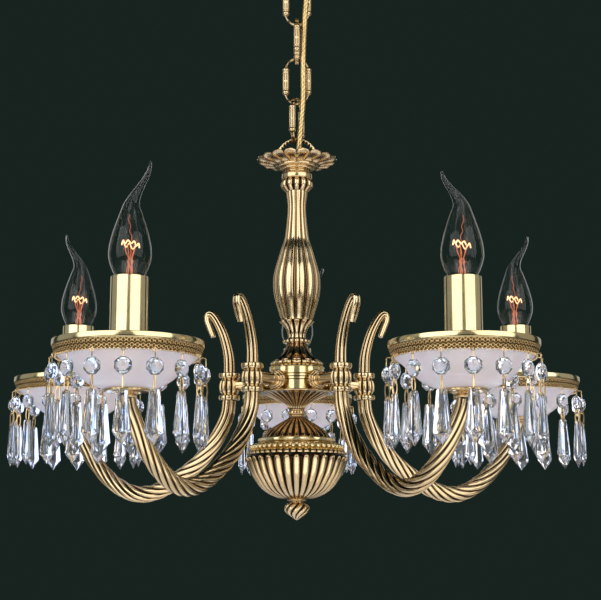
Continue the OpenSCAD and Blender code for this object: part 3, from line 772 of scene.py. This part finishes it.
FILIGREE_CELL = 4.2


def filigree(along, up):
    """How proud the band's pattern stands at a place, from rings, dots and scrolls that repeat."""
    cell, mid, line = FILIGREE_CELL, 3.6, 0.42
    u = np.mod(along, cell) - cell / 2
    v = up - mid

    def stroke(distance):
        return np.clip(1.2 - np.abs(distance) / line, 0, 1)

    side = np.abs(u) - cell / 2
    out = stroke(np.hypot(u, v - 1.75) - 1.25)
    out = np.maximum(out, stroke(np.hypot(side, v + 1.75) - 1.25))
    out = np.maximum(out, stroke(np.hypot(side, v - 1.75) - 0.3))
    out = np.maximum(out, stroke(np.hypot(u, v + 1.75) - 0.3))
    return np.maximum(out, stroke(np.abs(v) - 3.4))


def galleries():
    """Gallery rings: a polished lip, a band of filigree and a lace edge of small beads."""
    turns, cells = 1032, 86
    low_r, high_r, wall = 56.0, 58.6, 1.2
    angle = np.arange(turns)[None, :] * TURN / turns
    band_z = np.linspace(-12.5, -5.0, 26)
    foot = [(low_r - 0.6, -12.9), (low_r + 0.2, -12.7)]
    band = [(low_r + (high_r - low_r) * t, z) for t, z in zip(np.linspace(0, 1, len(band_z)), band_z)]
    inside = [(high_r - wall, -4.8), (low_r + 1.5 - wall, -9), (51.2, -9), (51.2, -10), (low_r - wall, -10)]
    loop_line = np.array([*foot, *band, *inside])
    r = np.broadcast_to(loop_line[:, None, 0], (len(loop_line), turns)).copy()
    wear_and_shade = np.full_like(r, 0.8)
    rows = slice(len(foot), len(foot) + len(band))
    pattern = filigree(angle * cells * FILIGREE_CELL / TURN, loop_line[rows, None, 1] + 12.1)
    proud, sunk = 0.55, 0.4
    r[rows] += proud * pattern - sunk
    # The sunk ground between the filigree strokes is darkened as painted shade; the strokes stay light.
    wear_and_shade[rows] = 0.2 + 0.75 * pattern
    height = np.broadcast_to(loop_line[:, None, 1], r.shape)
    grid = np.stack([r * np.cos(angle), r * np.sin(angle), height], -1)
    lip = [(high_r - 0.2, -4.9), (59.0, -4.7), (59.2, -4.3), (59.25, -2.4), (59.2, -0.7),
           (59.0, -0.2), (58.5, 0)]
    beads = 110
    lace = [moved(pearl(0.95, 8, 5), (low_r * math.cos(a), low_r * math.sin(a), -13.0))
            for a in np.arange(beads) * TURN / beads]
    build("gallery_bands", at_lamps([shape(grid, wear_and_shade, True, True)]), GILT, "chandelier",
          ["gallery_rings"])
    lip_part = lathe(lip, 180, inner=[(59 - wall, -0.1), (59 - wall, -4.9)])
    build("gallery_lips", at_lamps([lip_part]), POLISHED, "chandelier")
    build("gallery_lace", at_lamps(lace), SATIN, "chandelier")


def sleeves():
    """The candle sleeves and the lampholders inside them."""
    outline = [(14.6, -34), (15, -33.6), (15, 50.4), (14.8, 50.9), (14.4, 51)]
    sleeve = lathe(outline, 96, inner=[(13.9, 50.8), (13.8, 50.4), (13.8, -34)])
    build("sleeve_tubes", at_lamps([sleeve]), POLISHED, "chandelier",
          ["candle_sleeves"])
    holder = smooth([(5, -44), (5, -20.5), (12, -20), (12.5, -19), (12.5, 30), (12.3, 38), (11.4, 40)], 2)
    thread = [(7.05, 40), (7.05, 17), (3.8, 17), (3.8, -44)]
    build("lampholder_bodies", at_lamps([lathe(holder, 64, inner=thread)]), HOLDER, "chandelier",
          ["lampholders"])


BULB = [(6.9, 43), (8.2, 46), (11.3, 51), (14.8, 58), (17.0, 65), (17.4, 70), (16.7, 77), (14.6, 86),
        (11.4, 96), (8.2, 105), (5.6, 112), (4.0, 118), (2.9, 124), (2.2, 130), (1.5, 136),
        (0.8, 140.2)]
BULB_WALL = 0.3
BULB_TIP = 136
TAIL_FROM, TAIL_HEIGHT = 104, 36
THREAD_PITCH = 2.82


def bulb_wires():
    """The five wires that rise from the glass stem to the filament."""
    wires = []
    for k, a in enumerate(np.arange(5) * TURN / 5 + 0.5):
        sway = 0.7 * math.sin(2.1 * k)
        x, y = math.cos(a), math.sin(a)
        line = [(1.4 * x, 1.4 * y, 47), (2.2 * x + sway, 2.0 * y, 56), (1.5 * x - sway, 1.5 * y, 64),
                (2.8 * x + sway, 2.8 * y, 71), (4.6 * x, 4.6 * y, 77)]
        wires.append(tube(smooth(line, 4), 0.34, 8))
    return wires


def bulb_cap():
    """The aluminium cap with its screw thread."""
    outline = [(0.4, 17.3), (3, 17.4), (4.6, 18.6), (5.4, 20.6), (6.3, 21.4)]
    outline += [(6.85, z, 0.55) for z in np.arange(22, 40, 0.35)]
    outline += [(6.5, 40.4), (6.9, 41.0), (6.9, 42.2), (6.0, 42.7)]

    def thread(angle, z):
        return 0.5 + 0.5 * np.cos(angle - TURN * z / THREAD_PITCH)

    return solid(outline, 48, thread)


def bulb(i):
    """A blown bulb with a bent tip, its glass stem and its filament."""
    x, y, _ = LAMPS[i]
    side = TIP_SIDE[i]
    place = (x, y, 0)
    line = smooth(BULB, 6)
    tail = np.clip((line[:, 1] - TAIL_FROM) / TAIL_HEIGHT, 0, 1)
    bend = TIP_REACH[i] * np.sin(math.pi / 2 * tail) ** 2.2
    path = np.stack([side * bend, 0 * tail, line[:, 1] + TIP_RISE[i] * tail ** 1.5], -1)
    sides = 48
    angle = np.broadcast_to(np.arange(sides)[None, :] * TURN / sides, (len(line), sides))
    radius = line[:, :1]
    inner_radius = np.maximum(radius - BULB_WALL, 0.75 * radius)
    outer = around(path, np.repeat(radius, sides, 1), angle)
    inner = around(path, np.repeat(inner_radius, sides, 1), angle)
    shell = np.concatenate([outer, inner[line[:, 1] < BULB_TIP][::-1]])
    body = f"bulb_{i + 1}"
    build(f"bulb_envelope_{i + 1}", [moved(shape(shell, PLAIN_WEAR_AND_SHADE, True, True), place)], CLEAR, body,
          [f"bulb_glass_{i + 1}"], crisp=60)
    neck = smooth([(5.6, 43.6), (4.6, 48), (2.2, 53), (1.8, 60), (2.6, 64), (1.2, 66)], 4)
    build(f"bulb_stem_{i + 1}", [moved(solid(neck, 20), place)], CLEAR, body, crisp=60)
    build(f"bulb_wires_{i + 1}", [moved(w, place) for w in bulb_wires()], EMBER, body)
    zigzag = smooth([(-7.0, 0, 77), (-6.0, 1.0, 81), (-4.6, 2.4, 78.6), (-2.6, 3.4, 81.5), (0, 3.8, 79),
                     (2.4, 3.2, 80.6), (4.4, 2.0, 76.6), (6.2, 0.8, 78.4), (7.0, 0, 74.5)], 5)
    back = smooth([(-5.4, -1, 79), (-3.2, -2.6, 74.6), (-0.6, -3.4, 77.4), (2.0, -3.0, 73),
                   (4.8, -1.4, 76.6)], 5)
    hot = [tube(zigzag, 0.5, 8), tube(back, 0.38, 8)]
    build(f"bulb_filament_{i + 1}", [moved(h, place) for h in hot], FILAMENT, body)
    hook = smooth([(0, 0, 79), (0.8, 0.4, 84), (-1.0, -0.3, 88), (-0.2, 0.2, 92), (-2.0, -0.2, 97),
                   (-1.4, 0, 101)], 5)
    build(f"bulb_hook_wire_{i + 1}", [moved(tube(hook * [side, 1, 1], 0.22, 8), place)], EMBER, body)
    build(f"bulb_cap_thread_{i + 1}", [moved(bulb_cap(), place)], NICKEL, f"cap_{i + 1}",
          [f"bulb_cap_{i + 1}"])


# ---------------------------------------------------------------- crystals

HANG_R = 60.0
PIVOT_Z = -12.5
BEAD_DROP = 13.5
STONE_DROP = 31.0


def octagon():
    """A cut octagonal bead that faces outwards: bevelled edges, a star of facets and a small table."""
    points = []
    for k in range(8):
        for side, shift in ((-1, 0.0), (1, 0.5)):
            rim, star = TURN * (k + 0.5) / 8, TURN * (k + shift) / 8
            points.append((side * 0.9, 7.0 * math.cos(rim), 7.0 * math.sin(rim)))
            points.append((side * 3.0, 4.5 * math.cos(star), 4.5 * math.sin(star)))
            points.append((side * 4.1, 1.6 * math.cos(star + TURN / 16), 1.6 * math.sin(star + TURN / 16)))
    return facets(points)


def prism():
    """A long pendant prism: flat top, widening to a faceted shoulder over a pointed tip."""
    rings = [(3.8, 0.0, 0.5), (4.2, -1.2, 0.5), (6.9, -28.6, 0.0), (7.4, -31.0, 0.5), (6.3, -32.6, 0.0),
             (3.9, -36.0, 0.5), (0.25, -40.5, 0.0)]
    points = []
    for r, z, half in rings:
        for k in range(8):
            a = TURN * (k + half) / 8
            points.append((0.5 * r * math.cos(a), r * math.sin(a), z))
    return facets(points)


def hanger(peg, hook):
    """The wires of one drop, about its pivot on the ring."""
    parts = []
    if peg:
        parts.append(tube([(-3.0, 0, 0.2), (-1.2, 0, 0), (0.2, 0, 0)], 0.55, 8))
    if hook:
        parts.append(moved(ring(1.3, 0.42, 16, 6), (0.3, 0, -1.6), turn=math.pi / 2))
        parts.append(tube([(0.3, 0, -2.8), (0.5, 0, -5), (0.2, 0, -8.2)], 0.42, 8))
        parts.append(moved(ring(1.8, 0.5, 24, 6, squash=3.5), (0, 0, -26.2)))
        parts.append(moved(ring(1.3, 0.45, 16, 6), (0, 0, -31.6), turn=math.pi / 2))
    return parts


def crystals():
    """A ring of drops at each lamp. The first of each ring swings as a piece of its own."""
    drop = [moved(octagon(), (0, 0, -BEAD_DROP)), moved(prism(), (0, 0, -STONE_DROP))]
    wires = []
    for i in range(ARMS):
        x, y, _ = LAMPS[i]
        start = arm_angle(i) + RING_TURN[i]
        group = []
        for j in range(DROPS):
            a = start + TURN * j / DROPS
            place = (x + HANG_R * math.cos(a), y + HANG_R * math.sin(a), PIVOT_Z)
            stones = [moved(p, place, a) for p in drop]
            if j:
                group += stones
                wires += [moved(w, place, a) for w in hanger(True, True)]
            else:
                swing = f"swing_drop_{i + 1}"
                build(f"drop_stone_{i + 1}", stones, CRYSTAL, swing, [f"drop_{i + 1}"],
                      crisp=0)
                build(f"drop_wire_{i + 1}", [moved(w, place, a) for w in hanger(False, True)], SATIN,
                      swing)
                wires += [moved(w, place, a) for w in hanger(True, False)]
        build(f"crystal_ring_{i + 1}", group, CRYSTAL, "chandelier",
              [f"pendants_{i + 1}"], crisp=0)
    build("crystal_wires", wires, SATIN, "chandelier", ["pendant_wires"])


# ---------------------------------------------------------------- chain, cable and ceiling

def chain():
    """Links with double wire ends, ribbed side bars and a ball at each end of a bar."""
    half_w, bar_r, wire, height = 10.5, 3.0, 0.85, 46.5
    reach = height / 2 - 2 * wire - half_w
    moulding = lathe([(2.6, -0.5), (3.25, -0.3), (3.25, 0.3), (2.6, 0.5)], 32, bore=2.0)
    turns = (0, math.pi / 2, 0, math.radians(66))
    for i, turn in enumerate(turns):
        parts = []
        for end in (1, -1):
            for side in (-0.85, 0.85):
                points, faces, wear_and_shade = ring(half_w, wire, 24, 10, math.pi)
                points = points * [1, 1, end] + [0, side, end * (reach + 0.8)]
                parts.append((points, faces, wear_and_shade))
        for side in (-1, 1):
            z = np.linspace(-reach + 1, reach - 1, 25)
            radius = bar_r - 0.35 + 0.35 * np.abs(np.cos(math.pi * z / (2 * reach)))
            path = np.stack([0 * z + side * half_w, 0 * z, z], -1)
            parts.append(tube(path, radius, 96, 8, 0.20, share=0.82))
            for level in (-reach, 0, reach):
                size = 3.2 if level else 2.95
                parts.append(moved(pearl(size, 20, 11), (side * half_w, 0, level)))
            for level in (reach - 3.4, 3.4 - reach):
                parts.append(moved(moulding, (side * half_w, 0, level)))
        parts = [moved(p, (0, 0, LINKS[i][2]), turn) for p in parts]
        build(f"link_detail_{i + 1}", parts, ANTIQUE, f"link_{i + 1}",
              [f"chain_link_{i + 1}"])


CABLE_ROUTE = [(0, 0, -5), (0, 0, 60), (0, 0, 120), (0, 0, 185), (0.2, -1, 196), (1.6, -4.4, 205),
               (2.6, -6.7, 214), (3.2, -6.9, 223), (4.5, -6.8, 237), (6, -6.6, 260), (6, -6.5, 300),
               (7.5, -6.5, 335), (9, -6.5, 357), (9.5, -6.5, 378), (13, -5, 395), (18, -2, 406),
               (20, 0, 413)]


def cable():
    """The sheathed cable, split at each link into stretches that ride on no body."""
    path = smooth(CABLE_ROUTE, 16)
    cuts = [path[0][2], *[link[2] for link in LINKS[::-1]], path[-1][2]]
    for k, (low, high) in enumerate(zip(cuts[:-1], cuts[1:])):
        inside = path[(path[:, 2] > low + 0.5) & (path[:, 2] < high - 0.5)]
        first, last = [[np.interp(z, path[:, 2], path[:, a]) for a in range(3)] for z in (low, high)]
        line = np.concatenate([[first], inside, [last]])
        twist = line[:, 2] * 0.35
        part = tube(line, 2.5, 32, 4, 0.10, twist, 1.0)
        piece = build(f"cable_stretch_{k + 1}", [part], SHEATH, None,
                      ["power_cable"] if k == 0 else ())
        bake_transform(piece)


def ceiling():
    """The rose and its thumb screws."""
    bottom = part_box("ceiling_rose")[0][2] / MM - TOP
    outside = smooth([(17.6, 0), (19, 0.6), (19.3, 2.4), (18.4, 4.6), (19.4, 7.4), (22, 11), (32, 16.4),
                      (45, 24.4), (54, 36.4), (57, 44), (57.2, 46.6), (58, 47.4), (58, 51.4),
                      (57.4, 51.7)], 6)
    inside = smooth([(56.4, 51.7), (56, 46), (52.8, 37), (44, 25.8), (31.4, 17.8), (21, 12.4), (18, 8),
                     (16.6, 3), (16.5, 0.6)], 4)
    rose = lathe(outside.tolist(), 160, inner=inside.tolist())
    build("rose_shell", [moved(rose, (0, 0, bottom))], SATIN, "rose", ["ceiling_rose"])
    screws = []
    level = middle("rose_screws")[2]
    outline = [(0.4, 45.8), (1.4, 46), (1.55, 46.6), (1.55, 58.2), (3.6, 58.3), (4, 58.8, 0.4),
               (4, 61.6, 0.4), (3.4, 62.3), (1.2, 62.4), (0.3, 62.1)]
    screw = lying(solid(outline, 48, fluted(24, 1.0)))
    for turn in (0, math.pi):
        screws.append(moved(screw, (0, 0, level), turn))
    build("rose_thumb_screws", screws, SATIN, "rose", ["rose_screws"])


def cad_finish():
    """Materials for the CAD nodes that show their own shape."""
    for names, material in (
            (("ceiling_bracket", "ceiling_hook", "centre_tube"), ZINC),
            (("terminal_block", "arm_wires"), PLASTIC)):
        for name in names:
            for spot in frame["nodes"][name].material_slots:
                spot.material = material


# ---------------------------------------------------------------- stage, light and camera

def stage():
    """A pale floor below the lamp, and a plain dark tone all round."""
    floor_z, size = -1.7, 6.0
    corners = [(-size, -size, floor_z), (size, -size, floor_z), (size, size, floor_z),
               (-size, size, floor_z)]
    floor = bpy.data.meshes.new("floor")
    floor.from_pydata(corners, [], [(0, 1, 2, 3)])
    floor.materials.append(plain("pale_floor", (0.70, 0.69, 0.67), (0.74, 0.73, 0.71), 0.7, 3.0, 0.02))
    ground = bpy.data.objects.new("floor", floor)
    bpy.context.scene.collection.objects.link(ground)
    dark_tone = (0.009, 0.017, 0.014, 1.0)
    world = bpy.data.worlds.new("studio")
    bpy.context.scene.world = world
    world.use_nodes = True
    sky = world.node_tree.nodes["Background"]
    sky.inputs["Color"].default_value = dark_tone
    sky.inputs["Strength"].default_value = 1.0


def studio():
    """Soft area lights: name, place, width, height, strength, colour, and if brass reflects it.

    Light through a thin bulb looks like white paint, so the bulbs are left out of the side and
    back lights, and the key and fill don't show through glass.
    """
    bpy.context.scene.view_settings.view_transform = "Standard"
    target = Vector((0, 0, (TOP - 20) * MM))
    bulbs = bpy.data.collections.new("bulbs_apart")
    for i in range(ARMS):
        bulbs.objects.link(bpy.data.objects[f"bulb_envelope_{i + 1}"])
    for member in bulbs.collection_objects:
        member.light_linking.link_state = "EXCLUDE"
    for name, place, wide, high, glow, colour, seen in (
            ("key", (-1.48, -1.70, 0.22), 2.6, 2.3, 1.95, (1.0, 0.99, 0.97), True),
            ("fill", (1.48, -1.70, 0.22), 2.6, 2.3, 1.75, (1.0, 0.99, 0.98), True),
            ("front", (0.0, -2.6, 0.4), 0.8, 2.0, 0.20, (1.0, 0.98, 0.95), True),
            ("low_front", (0.0, -0.95, -1.45), 2.8, 1.4, 0.95, (1.0, 0.98, 0.95), True),
            ("side_left", (-2.3, 0.25, 0.1), 1.7, 2.0, 0.30, (0.95, 0.97, 1.0), True),
            ("side_right", (2.3, 0.25, 0.1), 1.7, 2.0, 0.30, (1.0, 0.97, 0.93), True),
            ("back_left", (-1.30, 1.20, -0.35), 1.6, 2.4, 2.3, (0.60, 0.70, 1.0), False),
            ("back_right", (1.30, 1.20, -0.35), 1.6, 2.4, 2.0, (1.0, 0.87, 0.80), False),
            ("back_low", (0.0, 1.2, -1.5), 2.0, 1.0, 1.5, (0.75, 0.83, 1.0), False),
            ("rear_left", (-1.5, 2.2, 0.3), 1.2, 1.8, 0.45, (1.0, 0.99, 0.97), True),
            ("rear_right", (1.5, 2.2, 0.3), 1.2, 1.8, 0.40, (1.0, 0.99, 0.98), True),
            ("over", (0.0, 0.0, 2.4), 3.6, 3.6, 1.1, (0.97, 0.98, 1.0), False)):
        lamp = bpy.data.lights.new(name, "AREA")
        lamp.shape = "RECTANGLE"
        lamp.size, lamp.size_y = wide, high
        lamp.energy = glow * math.pi * wide * high
        lamp.color = colour
        holder = bpy.data.objects.new(name, lamp)
        holder.location = place
        holder.visible_camera = False
        holder.visible_glossy = seen
        holder.visible_transmission = name not in ("key", "fill")
        if name.startswith(("back", "side")):
            holder.light_linking.receiver_collection = bulbs
        holder.rotation_euler = (target - Vector(place)).to_track_quat("-Z", "Y").to_euler()
        bpy.context.scene.collection.objects.link(holder)


def camera():
    """The view from just below the lamps, looking slightly up."""
    distance, below, aside, pitch = 1.208, 151.1, 0.0034, 10.14
    view = bpy.data.cameras.new("camera")
    view.lens = 80.0
    view.sensor_width = 36.0
    eye = bpy.data.objects.new("camera", view)
    eye.location = (aside, -distance, (TOP - below) * MM)
    eye.rotation_euler = (math.radians(90 + pitch), 0, 0)
    bpy.context.scene.collection.objects.link(eye)
    bpy.context.scene.camera = eye


camera()
cable()
chain()
ceiling()
loop()
cup()
stem()
hub()
bowl()
arm_tubes()
scrolls()
clamps()
collars()
dishes()
galleries()
sleeves()
for number in range(ARMS):
    bulb(number)
crystals()
cad_finish()
stage()
studio()
